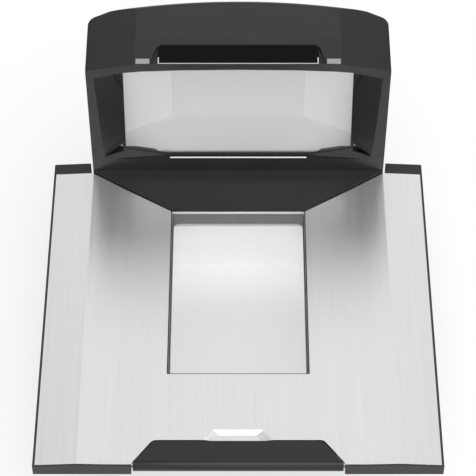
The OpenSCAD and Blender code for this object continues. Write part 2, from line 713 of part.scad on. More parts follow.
// Solid block of the bezel, in front of the leaning parting plane; drawn in by inset, it
// runs past that plane.
module bezel_body(inset, top_gap) {
    hw = tower_hw - inset;
    mid = eave_mid_z + top_gap;
    intersection() {
        along([[-hw, sill_z + inset], [hw, sill_z + inset], [hw, eave_side_z + top_gap], [hood_crease_x, mid],
            [-hood_crease_x, mid], [-hw, eave_side_z + top_gap]], tower_y0 + inset, 400);
        lean_side(inset, true);
    }
}

module tower_bezel() {
    color([0.2, 0.2, 0.21]) difference() {
        bezel_body(0, -0.05);
        window_bell(0);
        difference() {
            bezel_body(wall, 5);
            window_bell(wall);
        }
        glass_slab(0.2, -0.1, 20);
        // Gaps between the pillars' feet and the sill.
        mirrored() along([[107, sill_z + 2.4], [90.6, sill_z + 5], [90.6, sill_z + 12]],
            tower_y0 + 0.4, tilt_y0 + 7);
        // A groove that parts off the small facet in each upper corner of the window.
        intersection() {
            window_bell(0.9);
            mirrored() along([[97.2, 103], [96, 103], [89.1, 78.5], [90.3, 78.5]], tower_y0, tilt_y0 + 40);
        }
    }
}

// The glass's outline on the leaning plane, pushed back by depth.
module glass_slab(grow, y0, depth) {
    hw = tower_window_hw + 2.2 + grow;
    translate([0, leaned(tilt_y0, sill_z) + bell_lip, sill_z]) rotate([-lean, 0, 0])
        along(both([[56 + grow, -grow], [hw, 6 - grow], [hw, 87.6 + grow], [0, 89.6 + grow]]),
            y0, y0 + depth);
}

module tower_glass() { color([0.75, 0.85, 0.85, 0.3]) glass_slab(0, 0.5, glass_t); }

module tower_glass_seal() {
    color("black") difference() {
        glass_slab(0, 0.02, 0.46);
        glass_slab(-2.4, -1, 3);
    }
}

module tower_plinth() {
    apron_y = window_y1 + 0.6;
    hw = tower_hw;
    apron_hw = window_hw - 0.6;
    apron = [[-apron_hw, apron_y], [apron_hw, apron_y], [hw, tower_y0], [-hw, tower_y0]];
    inner = [[-apron_hw, apron_y + 1.2 * wall], [apron_hw, apron_y + 1.2 * wall],
        [hw - wall, tower_y0 + 0.4 * wall], [hw - wall, tower_y0 + 20], [wall - hw, tower_y0 + 20],
        [wall - hw, tower_y0 + 0.4 * wall]];
    color([0.16, 0.16, 0.17]) difference() {
        union() {
            intersection() {
                translate([0, 0, deck_z1 + 0.02]) linear_extrude(60) polygon(apron);
                across([[apron_y - 1, -60], [apron_y - 1, -0.3], [tower_y0 + 1, lip_z],
                    [tower_y0 + 1, -60]], 300);
            }
            intersection() {
                box(-hw, hw, tower_y0 - 0.01, back_tilt_y - 2.2, deck_z1 + 0.02, sill_z - 0.02);
                lean_side(-0.05, true);
            }
        }
        // A step behind the sill, under the glass.
        box(-hw - 1, hw + 1, tilt_y0 + 0.6, back_tilt_y, sill_z - glass_drop, sill_z + 1);
        intersection() {
            translate([0, 0, -60]) linear_extrude(200) polygon(inner);
            across([[0, -60], [0, -wall - 0.8], [apron_y, -wall - 0.8], [tower_y0 + wall, lip_z - wall],
                [tower_y0 + wall, sill_z - wall - glass_drop], [600, sill_z - wall - glass_drop],
                [600, -60]], 300);
        }
    }
}

// The tower's floor behind the sill.
module tower_floor() {
    y0 = back_tilt_y - 1.9;
    front_hw = tower_window_hw + 5;
    rear_hw = cavity_hw + 6;
    color([0.8, 0.8, 0.81]) translate([0, 0, sill_z - 2]) linear_extrude(1.98) polygon(both([
        [front_hw, y0], [front_hw, side_mirror_y + 1], [rear_hw, cavity_y + 2]]));
}

module tower_mirror_back() {
    color([0.88, 0.88, 0.9]) box(-cavity_hw, cavity_hw, cavity_y, cavity_y + 2, sill_z + 0.02, mirror_top_z);
}

module tower_mirrors_side() {
    front_x = tower_window_hw + 3.5;
    color([0.88, 0.88, 0.9]) mirrored() translate([0, 0, sill_z + 0.02])
        linear_extrude(side_mirror_top_z - sill_z) polygon([
            [front_x, side_mirror_y], [cavity_hw + 0.1, cavity_y], [cavity_hw + 0.1, cavity_y + 2],
            [cavity_hw + 1.5, cavity_y + 2], [front_x + 1.2, side_mirror_y + 1.2]]);
}

// Steel plate behind the cavity, with an opening and two lugs for the imager.
module tower_frame() {
    y = cavity_y + 2.1;
    lug = 4;
    color([0.6, 0.61, 0.63]) difference() {
        union() {
            box(-100, 100, y, y + plate_t, sill_z + 0.02, frame_top_z);
            mirrored() place_tower_imager() translate([18.02, -lug / 2, -lug]) cube([lug + 1, lug, 2 * lug]);
        }
        box(-22, 22, y - 1, y + plate_t + 1, 82, frame_top_z - 4);
        box(-12, 12, y - 1, y + plate_t + 1, 70, 83);
    }
}

module place_tower_imager() {
    translate([0, cavity_y - 1, imager_z]) rotate([-125, 0, 0]) children();
}

module tower_imager_board() { color([0.05, 0.3, 0.15]) place_tower_imager() imager_board(); }
module tower_imager_lens() { color([0.1, 0.1, 0.1]) place_tower_imager() scale(0.7) imager_lens(); }

speaker_x = 55;
speaker_z = 62;

module speaker() {
    color([0.1, 0.1, 0.1]) translate([speaker_x, frame_back_y + 0.02, speaker_z]) rotate([-90, 0, 0])
    difference() {
        union() {
            cylinder(r = 12, h = 6);
            translate([0, 0, 4]) cylinder(r1 = 14, r2 = 20, h = 4);
            translate([0, 0, 8]) cylinder(r = 22, h = 2.5);
        }
        translate([0, 0, 7]) cylinder(r1 = 8, r2 = 18.5, h = 3.6);
    }
}

module rear_shell_body(inset) {
    intersection() {
        translate([0, 0, deck_z1 + 0.02]) linear_extrude(160) tower_plan(inset, tower_y0 - 30, 0);
        along([[-200, -60], [200, -60], [tower_hw + 1, eave_side_z - 0.25],
            [hood_crease_x, eave_mid_z - 0.05], [-hood_crease_x, eave_mid_z - 0.05],
            [-tower_hw - 1, eave_side_z - 0.25]], 0, 500);
        lean_side(0.05, false);
    }
}

module tower_rear_shell() {
    color([0.14, 0.14, 0.15]) difference() {
        rear_shell_body(0);
        translate([0, 0, -60]) linear_extrude(300) tower_plan(wall, tower_y0 - 30, 0);
        // Speaker grille and a row of vents.
        for (i = [-5 : 5]) box(speaker_x - 15 + abs(i), speaker_x + 15 - abs(i), 320, 400,
            speaker_z + 3.4 * i - 0.8, speaker_z + 3.4 * i + 0.8);
        for (i = [0 : 9]) box(-84 + 8 * i, -80 + 8 * i, 320, 400, 84, 104);
    }
}

// The hood's crown and falling side facets in [x, z], lowered by fall.
function hood_outline(inset, fall) =
    let (hw = tower_hw - inset, top = tower_h - inset - fall, side = hood_side_z - inset - 0.6 * fall)
    both([[hw + 1, 60], [hw + 1, side - 1.2], [hw - 2, side], [hood_crease_x, top - 0.4],
        [hood_crease_x - 6, top]]);

// Solid shape of the hood: a crown that rises from the front edge in three steps, two falling
// side facets, and a rounded rear edge.
module hood_body(inset) {
    steps = [[-1, tower_h - hood_front_z + 0.06], [26, 1.1], [48, 0]];
    round_r = 10 - inset;
    top = tower_h - inset;
    low = inset > 0 ? 90 : 0;
    intersection() {
        translate([0, 0, 80]) linear_extrude(80) tower_plan(inset, tower_y0 + inset, 1);
        union() {
            for (i = [0, 1]) hull() for (k = [i, i + 1])
                translate([0, tower_y0 + steps[k][0], 0]) along(hood_outline(inset, steps[k][1]), 0, 0.01);
            along(hood_outline(inset, 0), tower_y0 + steps[2][0], 500);
        }
        along(both([[hood_crease_x, eave_mid_z - low], [tower_hw + 2, eave_side_z - 2 * eave_slope - low],
            [tower_hw + 2, 300]]), 0, 500);
        translate([0, back_cy, 0]) rotate_extrude($fn = 360) {
            translate([back_r - inset - 140, 0]) square([140 - round_r, top]);
            translate([back_r - inset - 140, 0]) square([140, top - round_r]);
            translate([back_r - inset - round_r, top - round_r]) circle(r = round_r);
        }
    }
}

// The cut for the badge: a nearly level floor with flared ends, round rear corners and a low
// lip along the front.
module badge_pocket(grow) {
    hw = badge_hw + grow;
    flare = 4.2;
    corner = 6;
    rim = 0.8;
    y0 = tower_y0 + 1 - grow;
    hull() {
        box(-hw, hw, y0 + 0.4, y0 + 0.5, badge_z0 - grow, badge_z0 - grow + 0.1);
        box(-hw - flare, hw + flare, y0, y0 + 0.1, hood_front_z - 0.2, 150);
        mirrored() {
            translate([hw - corner, badge_y1 + grow - corner, badge_z1 - grow])
                cylinder(r = corner, h = 1, $fn = 32);
            translate([hw - corner + rim, badge_y1 + grow - corner + rim, tower_h])
                cylinder(r = corner, h = 20, $fn = 32);
        }
    }
}

// Room for a key's button or, grown, for the flange under it; never grown towards the front.
module key_hole(grow, z0, z1) {
    mirrored() box(key_x - key_w / 2 - grow, key_x + key_w / 2 + grow,
        key_y0 - key_gap, key_y0 + key_d + grow, z0, z1);
}

module tower_hood() {
    color([0.2, 0.2, 0.21]) difference() {
        hood_body(0);
        badge_pocket(0);
        difference() {
            hood_body(wall);
            badge_pocket(wall);
        }
        key_hole(key_gap, 110, 140);
        key_hole(key_flange + key_gap, 110, key_flange_z + 1.2);
    }
}

module badge_panel() {
    hw = badge_hw - 1.3;
    depth = badge_y1 - tower_y0 - 2.2;
    color([0.02, 0.02, 0.02]) translate([0, tower_y0 + 1.6, badge_z0 + 0.12])
        rotate([atan2(badge_z1 - badge_z0, badge_y1 - tower_y0 - 1.4), 0, 0]) linear_extrude(0.8) union() {
            rounded_rect(-hw, hw, 0, depth, 4.4);
            translate([-hw, 0]) square([2 * hw, depth / 2]);
        }
}

module key_board() {
    z = 118.7;
    strip_y = tower_y0 + 9.6;
    color([0.05, 0.3, 0.15]) difference() {
        union() {
            box(-84, 84, strip_y, strip_y + 5, z, z + 0.8);
            mirrored() box(key_x - 7, key_x + 7, key_y0 + 2.6, strip_y + 0.1, z, z + 0.8);
            mirrored() translate([key_x, key_y0 + 4.4, z + 0.7]) cylinder(r = 1.7, h = 0.9);
        }
        for (x = [-40, 40]) translate([x, strip_y + 2.5, z - 1]) cylinder(r = 1.2, h = 3);
    }
}

module plate_screw() {
    rotate([-90, 0, 0]) difference() {
        cylinder(r = 2.8, h = 2);
        translate([0, 0, 1]) cylinder(r = 1.3, h = 2, $fn = 6);
    }
}

module tower_screws() {
    color("silver") {
        for (x = [-96, -40, 40, 96]) translate([x, frame_back_y + 0.02, 24]) plate_screw();
        for (x = [-92, 92]) translate([x, frame_back_y + 0.02, 100]) plate_screw();
    }
}

// ---------------------------------------------------------------- keys and feet

module key(side) {
    stem_hw = 1.6;
    x0 = key_x - key_w / 2;
    x1 = key_x + key_w / 2;
    color([0.75, 0.75, 0.76]) mirror([side < 0 ? 1 : 0, 0, 0]) {
        box(x0, x1, key_y0, key_y0 + key_d, key_flange_z, key_top_z);
        box(x0 - key_flange, x1 + key_flange, key_y0, key_y0 + key_d + key_flange,
            key_flange_z, key_flange_z + 0.9);
        box(key_x - stem_hw, key_x + stem_hw, key_y0 + 3.2, key_y0 + key_d,
            key_flange_z - 0.1, key_flange_z + 0.1);
    }
}

module key_left() { key(-1); }
module key_right() { key(1); }

module level_foot(x, y) {
    color("silver") translate([x, y, -deck_h]) difference() {
        union() {
            translate([0, 0, 4]) cylinder(r = 8, h = 2);
            translate([0, 0, 5]) cylinder(r = foot_thread_r, h = 26);
        }
        translate([0, 0, 27]) cylinder(r = 2.3, h = 5, $fn = 6);
    }
}

module foot_pad(x, y) {
    color([0.05, 0.05, 0.05]) translate([x, y, -deck_h]) cylinder(r = 9, h = 3.98);
}

place() platter_plate();
place() platter_glass();
place() platter_glass_seal();
place() platter_carrier();
place() rear_caps();
place() carrier_screws();
place() rail_hinge_pins();
place() produce_rail();
place() rail_bumpers();
place() weigh_frame();
place() weigh_pads();
place() weigh_frame_screws();
place() load_cell();
place() load_cell_mount();
place() overload_stops();
place() chassis_tub();
place() deck_cover();
place() deck_screws();
place() inner_glass();
place() inner_glass_seal();
place() optics_well();
place() well_mirrors();
place() well_led_bars();
place() deck_imager_board();
place() deck_imager_lens();
place() main_board();
place() board_parts();
place() board_standoffs();
place() heat_sink();
place() port_block();
place() ribbon_cables();
place() bubble_level();
place() tower_plinth();
place() tower_bezel();
place() tower_hood();
place() tower_rear_shell();
place() tower_glass();
place() tower_glass_seal();
place() tower_floor();
place() tower_mirror_back();
place() tower_mirrors_side();
place() tower_frame();
place() tower_imager_board();
place() tower_imager_lens();
place() speaker();
place() key_board();
place() badge_panel();
place() tower_screws();
place() key_left();
place() key_right();
place() level_foot(foot_xs[0], foot_ys[0]);  // level_foot_fl
place() level_foot(foot_xs[1], foot_ys[0]);  // level_foot_fr
place() level_foot(foot_xs[0], foot_ys[1]);  // level_foot_rl
place() level_foot(foot_xs[1], foot_ys[1]);  // level_foot_rr
place() foot_pad(foot_xs[0], foot_ys[0]);  // foot_pad_fl
place() foot_pad(foot_xs[1], foot_ys[0]);  // foot_pad_fr
place() foot_pad(foot_xs[0], foot_ys[1]);  // foot_pad_rl
place() foot_pad(foot_xs[1], foot_ys[1]);  // foot_pad_rr
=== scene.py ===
import json
import math

import bmesh
import bpy
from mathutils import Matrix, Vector


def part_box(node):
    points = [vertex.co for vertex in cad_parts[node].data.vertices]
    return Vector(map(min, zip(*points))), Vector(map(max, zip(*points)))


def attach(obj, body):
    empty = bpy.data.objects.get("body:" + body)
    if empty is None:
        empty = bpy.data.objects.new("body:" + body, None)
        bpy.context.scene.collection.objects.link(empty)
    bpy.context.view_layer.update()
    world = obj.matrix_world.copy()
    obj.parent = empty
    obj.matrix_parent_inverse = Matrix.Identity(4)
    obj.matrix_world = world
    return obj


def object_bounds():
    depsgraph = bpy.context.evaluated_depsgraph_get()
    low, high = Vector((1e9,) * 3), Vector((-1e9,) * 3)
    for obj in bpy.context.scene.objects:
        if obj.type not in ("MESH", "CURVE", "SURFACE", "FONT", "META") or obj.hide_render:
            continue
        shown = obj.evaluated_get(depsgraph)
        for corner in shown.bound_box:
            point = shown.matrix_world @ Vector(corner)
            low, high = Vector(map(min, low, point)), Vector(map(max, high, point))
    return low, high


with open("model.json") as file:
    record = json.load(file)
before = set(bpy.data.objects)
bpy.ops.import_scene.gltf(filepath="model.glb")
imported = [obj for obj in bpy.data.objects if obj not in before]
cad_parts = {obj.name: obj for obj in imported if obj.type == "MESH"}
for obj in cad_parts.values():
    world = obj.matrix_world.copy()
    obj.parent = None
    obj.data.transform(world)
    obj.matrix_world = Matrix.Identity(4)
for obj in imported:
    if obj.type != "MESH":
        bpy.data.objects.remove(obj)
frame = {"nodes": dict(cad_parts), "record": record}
cad_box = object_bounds()
scene = bpy.context.scene
MM = 0.001


# ---------------------------------------------------------------- materials

class Surface:
    """A procedural material being built: one Principled shader, with textures in the object's own metres."""

    def __init__(self, name, color, roughness, metallic=0.0):
        self.mat = bpy.data.materials.new(name)
        self.mat.use_nodes = True
        self.mat.diffuse_color = (*color, 1)
        self.tree = self.mat.node_tree
        self.shader = self.tree.nodes["Principled BSDF"]
        self.color = color
        self.set("Base Color", (*color, 1))
        self.set("Roughness", roughness)
        self.set("Metallic", metallic)
        self.place = self.add("ShaderNodeTexCoord").outputs["Object"]

    def set(self, socket, value):
        self.shader.inputs[socket].default_value = value

    def add(self, kind, **props):
        node = self.tree.nodes.new(kind)
        for key, value in props.items():
            setattr(node, key, value)
        return node

    def join(self, source, target):
        self.tree.links.new(source, target)

    def spread(self, scale):
        """The object's coordinates stretched by scale, so that a texture runs along an axis."""
        node = self.add("ShaderNodeMapping")
        node.inputs["Scale"].default_value = scale
        self.join(self.place, node.inputs["Vector"])
        return node.outputs["Vector"]

    def noise(self, scale, detail=3.0, stretch=(1, 1, 1)):
        """Cloudy noise, 0 to 1, with about scale lumps to the metre."""
        node = self.add("ShaderNodeTexNoise")
        node.inputs["Scale"].default_value = scale
        node.inputs["Detail"].default_value = detail
        node.inputs["Roughness"].default_value = 0.55
        self.join(self.spread(stretch), node.inputs["Vector"])
        return node.outputs["Fac"]

    def cells(self, scale, stretch=(1, 1, 1)):
        """Distance to the nearest of scattered points, about scale of them to the metre."""
        node = self.add("ShaderNodeTexVoronoi", feature="F1")
        node.inputs["Scale"].default_value = scale
        self.join(self.spread(stretch), node.inputs["Vector"])
        return node.outputs["Distance"]

    def band(self, value, low, high, to_low=0.0, to_high=1.0):
        """value carried from low..high to to_low..to_high, and held at the ends."""
        node = self.add("ShaderNodeMapRange")
        for key, number in (("From Min", low), ("From Max", high), ("To Min", to_low), ("To Max", to_high)):
            node.inputs[key].default_value = number
        self.join(value, node.inputs["Value"])
        return node.outputs["Result"]

    def maths(self, operation, a, b):
        node = self.add("ShaderNodeMath", operation=operation)
        for socket, value in zip(node.inputs, (a, b)):
            if isinstance(value, (int, float)):
                socket.default_value = value
            else:
                self.join(value, socket)
        return node.outputs["Value"]

    def mean(self, a, b, share):
        """Weighted mean of two values, with share of the first."""
        return self.maths("ADD", self.maths("MULTIPLY", a, share), self.maths("MULTIPLY", b, 1 - share))

    def tint(self, fac, dark, light):
        """Base colour that goes between two colours, or between two multiples of the material's own."""
        node = self.add("ShaderNodeMix", data_type="RGBA")
        colors = [socket for socket in node.inputs if socket.type == "RGBA"]
        for socket, gain in zip(colors, (dark, light)):
            shade = gain if isinstance(gain, tuple) else tuple(min(1.0, c * gain) for c in self.color)
            socket.default_value = (*shade, 1)
        self.join(fac, node.inputs["Factor"])
        result = next(socket for socket in node.outputs if socket.type == "RGBA")
        self.join(result, self.shader.inputs["Base Color"])

    def glow(self, strength):
        """White light of the surface's own."""
        self.set("Emission Color", (1, 1, 1, 1))
        self.set("Emission Strength", strength)

    def vary_roughness(self, fac, low, high):
        self.join(self.band(fac, 0.25, 0.75, low, high), self.shader.inputs["Roughness"])

    def edges(self, radius):
        """1 near the edges of the shape, 0 on its faces: how far a rounded normal turns from the true one."""
        rounded = self.add("ShaderNodeBevel", samples=4)
        rounded.inputs["Radius"].default_value = radius
        true = self.add("ShaderNodeNewGeometry")
        dot = self.add("ShaderNodeVectorMath", operation="DOT_PRODUCT")
        self.join(rounded.outputs["Normal"], dot.inputs[0])
        self.join(true.outputs["Normal"], dot.inputs[1])
        return self.band(dot.outputs["Value"], 0.995, 0.9)

    def bump(self, *heights):
        """Bump from (texture, depth in metres) pairs, each on top of the last."""
        normal = None
        for height, depth in heights:
            node = self.add("ShaderNodeBump")
            node.inputs["Strength"].default_value = 1.0
            node.inputs["Distance"].default_value = depth
            self.join(height, node.inputs["Height"])
            if normal is not None:
                self.join(normal, node.inputs["Normal"])
            normal = node.outputs["Normal"]
        self.join(normal, self.shader.inputs["Normal"])


def brushed_steel():
    """Stainless sheet, brushed from front to rear, with faint wipe marks."""
    s = Surface("stainless", (0.65, 0.65, 0.648), 0.34, 1.0)
    fine = s.noise(1.0, 2.0, (2600, 14, 2600))
    coarse = s.noise(1.0, 3.0, (620, 5, 620))
    wiped = s.noise(9.0, 4.0, (1, 0.4, 1))
    lines = s.mean(fine, coarse, 0.6)
    s.tint(s.band(lines, 0.3, 0.7), 0.94, 1.04)
    s.vary_roughness(s.mean(lines, wiped, 0.55), 0.31, 0.42)
    s.bump((fine, 0.004 * MM), (coarse, 0.005 * MM))
    s.set("Anisotropic", 0.55)
    s.set("Anisotropic Rotation", 0.25)
    tangent = s.add("ShaderNodeTangent", direction_type="RADIAL", axis="Y")
    s.join(tangent.outputs["Tangent"], s.shader.inputs["Tangent"])
    return s.mat


# How far in from an edge a moulding looks rubbed.
WORN_EDGE = 0.7 * MM


def moulded(name, color, roughness, grain=1500.0, depth=0.02 * MM, specular=0.5):
    """Moulded plastic: spark-eroded grain, faint flow marks, and rubbed patches that shine a little."""
    s = Surface(name, color, roughness)
    pebble = s.cells(grain)
    fine = s.noise(grain * 0.7, 2.0)
    flow = s.noise(14.0, 3.0, (1, 1, 0.5))
    rubbed = s.noise(38.0, 5.0)
    worn = s.maths("MULTIPLY", s.edges(WORN_EDGE), s.band(rubbed, 0.42, 0.62))
    shade = s.band(s.mean(flow, fine, 0.6), 0.3, 0.7, 0.0, 0.3)
    s.tint(s.maths("ADD", shade, s.maths("MULTIPLY", worn, 0.6)), 0.9, 1.7)
    s.vary_roughness(s.mean(rubbed, fine, 0.7), roughness - 0.06, roughness + 0.06)
    s.bump((flow, 0.04 * MM), (pebble, depth), (fine, depth * 0.5))
    s.set("Specular IOR Level", specular)
    return s.mat


def rubber():
    """Matt black rubber with a little pale dust."""
    s = Surface("black_rubber", (0.012, 0.012, 0.012), 0.7)
    dust = s.noise(60.0, 5.0)
    fine = s.noise(2400.0, 2.0)
    s.tint(s.band(dust, 0.45, 0.75), 0.9, 1.9)
    s.vary_roughness(dust, 0.6, 0.8)
    s.bump((fine, 0.02 * MM), (dust, 0.05 * MM))
    return s.mat


def pane(name, tint):
    """Flat clear glass that lets lamps through: a see-through body with a polished face over it."""
    haze = 0.02
    s = Surface(name, tint, haze)
    smears = s.noise(16.0, 5.0, (1, 0.5, 1))
    s.vary_roughness(smears, haze, haze + 0.05)
    s.set("IOR", 1.5)
    clear = s.add("ShaderNodeBsdfTransparent")
    clear.inputs["Color"].default_value = (*tint, 1)
    fresnel = s.add("ShaderNodeFresnel")
    fresnel.inputs["IOR"].default_value = 1.45
    polish = s.maths("MULTIPLY", fresnel.outputs["Fac"], 0.9)
    share = s.maths("ADD", polish, s.band(smears, 0.5, 0.9, 0.0, 0.02))
    mix = s.add("ShaderNodeMixShader")
    s.join(share, mix.inputs["Fac"])
    s.join(clear.outputs["BSDF"], mix.inputs[1])
    s.join(s.shader.outputs["BSDF"], mix.inputs[2])
    s.join(mix.outputs["Shader"], s.tree.nodes["Material Output"].inputs["Surface"])
    return s.mat


def diffuser(name, glow):
    """White moulding that spreads light, very slightly uneven; glow is painted light that brightens it,
    standing in for light coming through it.
    """
    s = Surface(name, (0.8, 0.8, 0.797), 0.5)
    s.glow(glow)
    cloud = s.noise(11.0, 3.0)
    fine = s.noise(1900.0, 2.0)
    s.tint(cloud, 0.96, 1.03)
    s.vary_roughness(cloud, 0.42, 0.55)
    s.bump((fine, 0.01 * MM))
    return s.mat


def hazed_mirror(name, glow):
    """Front-silvered glass with a soft haze and a few fine specks; glow is painted light, standing in for the
    lamps near it.
    """
    s = Surface(name, (0.86, 0.86, 0.865), 0.42, 0.35)
    s.glow(glow)
    cloud = s.noise(14.0, 4.0)
    specks = s.cells(420.0)
    s.tint(s.band(specks, 0.02, 0.08), 0.93, 1.0)
    s.vary_roughness(cloud, 0.36, 0.48)
    s.bump((cloud, 0.01 * MM))
    return s.mat


def powder_coat():
    """Black powder coat over a die casting: fine orange peel."""
    s = Surface("cast_aluminium", (0.035, 0.035, 0.038), 0.5)
    peel = s.noise(900.0, 3.0)
    cast = s.noise(70.0, 3.0)
    s.tint(cast, 0.85, 1.2)
    s.vary_roughness(peel, 0.42, 0.58)
    s.bump((cast, 0.1 * MM), (peel, 0.05 * MM))
    s.set("Coat Weight", 0.15)
    return s.mat


def milled_aluminium():
    """Clear anodised aluminium with fine cutter lines."""
    s = Surface("machined_aluminium", (0.62, 0.62, 0.64), 0.36, 1.0)
    lines = s.noise(1.0, 2.0, (60, 60, 2600))
    cloud = s.noise(90.0, 3.0)
    s.tint(s.band(lines, 0.3, 0.7), 0.93, 1.05)
    s.vary_roughness(cloud, 0.3, 0.42)
    s.bump((lines, 0.01 * MM))
    return s.mat


def zinc_plate():
    """Zinc plated steel: a faint blue and yellow cast that drifts over the surface."""
    s = Surface("zinc_steel", (0.55, 0.56, 0.58), 0.34, 1.0)
    drift = s.noise(120.0, 4.0)
    fine = s.noise(1600.0, 2.0)
    s.tint(s.band(drift, 0.35, 0.65), (0.5, 0.53, 0.58), (0.62, 0.61, 0.56))
    s.vary_roughness(fine, 0.28, 0.42)
    s.bump((fine, 0.01 * MM))
    return s.mat


def circuit_board():
    """Green solder mask with copper runs showing through as lighter bands, and plated holes."""
    s = Surface("circuit_board", (0.01, 0.085, 0.035), 0.28)
    brick = s.add("ShaderNodeTexBrick", offset=0.37)
    brick.inputs["Scale"].default_value = 240.0
    brick.inputs["Mortar Size"].default_value = 0.09
    brick.inputs["Mortar Smooth"].default_value = 0.3
    s.join(s.spread((1, 1, 1)), brick.inputs["Vector"])
    holes = s.cells(210.0)
    runs = s.maths("MAXIMUM", brick.outputs["Fac"], s.band(holes, 0.16, 0.1))
    s.tint(runs, (0.008, 0.07, 0.028), (0.05, 0.19, 0.06))
    s.vary_roughness(runs, 0.24, 0.34)
    s.bump((runs, 0.03 * MM))
    s.set("Coat Weight", 0.4)
    return s.mat


def polished(name, color, roughness, coat, specular):
    """Polished black moulding with faint polishing waves and dust."""
    s = Surface(name, color, roughness)
    waves = s.noise(30.0, 2.0)
    dust = s.cells(900.0)
    s.tint(s.band(dust, 0.03, 0.0), 1.0, (0.02, 0.02, 0.02))
    s.vary_roughness(waves, roughness - 0.02, roughness + 0.04)
    s.bump((waves, 0.01 * MM))
    s.set("Specular IOR Level", specular)
    s.set("Coat Weight", coat)
    s.set("Coat Roughness", 0.05)
    return s.mat


def lamp_strip():
    """Opal cover over a row of lamps: their faint glow is painted into its colour as lighter spots."""
    s = Surface("led_white", (0.88, 0.88, 0.86), 0.35)
    dots = s.cells(150.0, (1, 0.2, 0.2))
    s.tint(s.band(dots, 0.5, 0.1), 0.86, 1.0)
    s.vary_roughness(dots, 0.3, 0.45)
    s.bump((dots, 0.1 * MM))
    return s.mat


def flat_cable():
    """Ribbon cable: ridges along its run."""
    s = Surface("ribbon", (0.66, 0.64, 0.56), 0.45)
    wave = s.add("ShaderNodeTexWave", wave_type="BANDS", bands_direction="X")
    wave.inputs["Scale"].default_value = 250.0
    s.join(s.place, wave.inputs["Vector"])
    s.tint(wave.outputs["Fac"], 0.8, 1.05)
    s.vary_roughness(wave.outputs["Fac"], 0.4, 0.55)
    s.bump((wave.outputs["Fac"], 0.2 * MM))
    return s.mat


def spirit():
    """Bright green level fluid in a clear cap."""
    s = Surface("level_vial", (0.34, 0.6, 0.07), 0.12)
    swirl = s.noise(300.0, 2.0)
    s.tint(swirl, 0.85, 1.15)
    s.vary_roughness(swirl, 0.08, 0.18)
    s.bump((swirl, 0.01 * MM))
    s.set("Coat Weight", 0.8)
    return s.mat


MATERIALS = {
    "stainless": brushed_steel(),
    "charcoal_plastic": moulded("charcoal_plastic", (0.01, 0.01, 0.0102), 0.34, specular=0.36),
    "dark_plastic": moulded("dark_plastic", (0.018, 0.018, 0.0183), 0.4, specular=0.4),
    "carrier_plastic": moulded("carrier_plastic", (0.014, 0.014, 0.0143), 0.5, 1100.0, 0.03 * MM),
    "cast_aluminium": powder_coat(),
    "machined_aluminium": milled_aluminium(),
    "zinc_steel": zinc_plate(),
    "window_glass": pane("window_glass", (0.975, 0.978, 0.977)),
    "black_rubber": rubber(),
    # White mouldings glow a little: painted light that brightens them.
    "white_plastic": diffuser("white_plastic", 0.08),
    "mirror": hazed_mirror("mirror", 0.02),
    "led_white": lamp_strip(),
    "lens_black": polished("lens_black", (0.01, 0.01, 0.012), 0.12, 0.6, 0.5),
    "circuit_board": circuit_board(),
    "ribbon": flat_cable(),
    "level_vial": spirit(),
    "badge_gloss": polished("badge_gloss", (0.0015, 0.0015, 0.0015), 0.08, 0.0, 0.05),
    "key_grey": moulded("key_grey", (0.3, 0.3, 0.31), 0.4, 1700.0, 0.01 * MM),
}
# Nodes whose mirror finish differs a little from the rest of their slot: painted light, lit copies that glow
# more the nearer the mirror is to a lamp.
PAINTED_GLOW_MIRRORS = {
    "well_mirrors": hazed_mirror("well_mirror", 0.21),
    "tower_mirrors_side": hazed_mirror("side_mirror", 0.12),
    "tower_mirror_back": hazed_mirror("back_mirror", 0.06),
}


# ---------------------------------------------------------------- carried-over parts

# Rounding of each node's edges, in metres; nodes not named here get DEFAULT_EDGE.
DEFAULT_EDGE = 0.25 * MM
EDGES = {
    "tower_hood": 0.9 * MM, "tower_bezel": 0.45 * MM, "tower_plinth": 0.6 * MM,
    "platter_plate": 0.4 * MM, "produce_rail": 0.6 * MM, "rear_caps": 0.5 * MM, "chassis_tub": 0.6 * MM,
    "platter_carrier": 0.4 * MM, "key_left": 0.35 * MM, "key_right": 0.35 * MM, "badge_panel": 0.2 * MM,
}
SHARP_ANGLE = math.radians(28)
# Vertices closer than this are one.
WELD_GAP = 0.002 * MM
# Nodes with large curved faces: they keep the exact normals they came with.
EXACT = {"tower_rear_shell"}
# Nodes whose twisted faces are cut in strips, and the angle below which an edge is shaded smooth.
TWISTED = {"tower_bezel": math.radians(14)}


def shade_over(angle):
    """A node group that shades over every edge flatter than angle."""
    group = bpy.data.node_groups.new("shade_over", "GeometryNodeTree")
    for way in ("INPUT", "OUTPUT"):
        group.interface.new_socket("Geometry", in_out=way, socket_type="NodeSocketGeometry")
    source = group.nodes.new("NodeGroupInput")
    target = group.nodes.new("NodeGroupOutput")
    normal = group.nodes.new("GeometryNodeSetMeshNormal")
    normal.mode = "SHARPNESS"
    normal.inputs["Remove Custom"].default_value = True
    edge = group.nodes.new("GeometryNodeInputMeshEdgeAngle")
    steep = group.nodes.new("ShaderNodeMath")
    steep.operation = "GREATER_THAN"
    steep.inputs[1].default_value = angle
    group.links.new(edge.outputs["Unsigned Angle"], steep.inputs[0])
    group.links.new(steep.outputs[0], normal.inputs["Edge Sharpness"])
    group.links.new(source.outputs[0], normal.inputs["Mesh"])
    group.links.new(normal.outputs[0], target.inputs[0])
    return group


def round_edges(obj, width):
    """A small bevel along every edge sharper than SHARP_ANGLE."""
    bevel = obj.modifiers.new("edge", "BEVEL")
    bevel.width = width
    bevel.segments = 2
    bevel.limit_method = "ANGLE"
    bevel.angle_limit = SHARP_ANGLE
    return bevel


def soften(node, width):
    """Rounds a node's edges with modifiers, so that they catch the light; its own mesh stays as it is."""
    weld = node.modifiers.new("weld", "WELD")
    weld.merge_threshold = WELD_GAP
    if node.name in TWISTED:
        shade = node.modifiers.new("shade", "NODES")
        shade.node_group = shade_over(TWISTED[node.name])
    bevel = round_edges(node, width)
    bevel.use_clamp_overlap = True
    bevel.harden_normals = True


